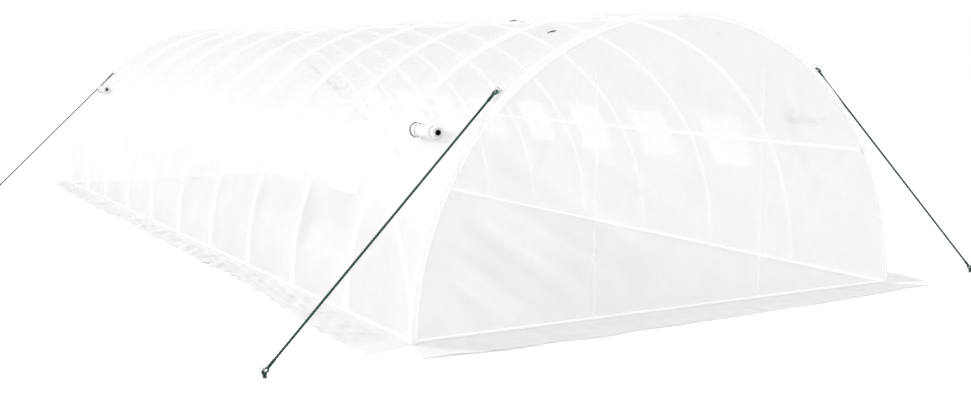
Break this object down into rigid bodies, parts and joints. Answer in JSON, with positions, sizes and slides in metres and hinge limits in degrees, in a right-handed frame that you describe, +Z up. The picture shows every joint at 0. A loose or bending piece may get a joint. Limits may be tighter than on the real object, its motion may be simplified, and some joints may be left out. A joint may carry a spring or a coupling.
{
  "type": "polytunnel greenhouse",
  "caption": "White polytunnel greenhouse with steel hoops, a translucent film cover, a row of windows on each side, ground skirts and green guy ropes.",
  "frame": {"origin": "centre of the footprint on the ground", "axes": "+Y along the tunnel towards its rear end, +Z up, +X to the right seen from the front"},
  "size_m": [6.1024, 10.8322, 2.0033],
  "materials": {
    "tube": "satin",
    "saddle": "matte",
    "film": "satin",
    "mesh": "matte",
    "zip": "matte",
    "rope": "matte",
    "steel": "satin"
  },
  "bodies": {
    "root": {"corner_braces": "tube", "cover": "film", "door_front": "film", "door_rear": "film", "door_zips_front": "zip", "door_zips_rear": "zip", "end_rail_front": "tube", "end_rail_rear": "tube", "end_wall_front": "film", "end_wall_rear": "film", "ground_rail_left": "tube", "ground_rail_right": "tube", "guy_pegs": "steel", "guy_rings": "steel", "guy_rope_front_left": "rope", "guy_rope_front_right": "rope", "guy_rope_rear_left": "rope", "guy_rope_rear_right": "rope", "hoop_01": "tube", "hoop_02": "tube", "hoop_03": "tube", "hoop_04": "tube", "hoop_05": "tube", "hoop_06": "tube", "hoop_07": "tube", "hoop_08": "tube", "hoop_09": "tube", "hoop_10": "tube", "hoop_11": "tube", "purlin_left": "tube", "purlin_right": "tube", "purlin_saddles_left": "saddle", "purlin_saddles_right": "saddle", "ridge_pole": "tube", "ridge_saddles": "saddle", "skirt_front": "film", "skirt_left": "film", "skirt_rear": "film", "skirt_right": "film", "window_flaps_left": "film", "window_flaps_right": "film", "window_rolls_left": "film", "window_rolls_right": "film", "window_screens_left": "mesh", "window_screens_right": "mesh"}
  },
  "joints": []
}
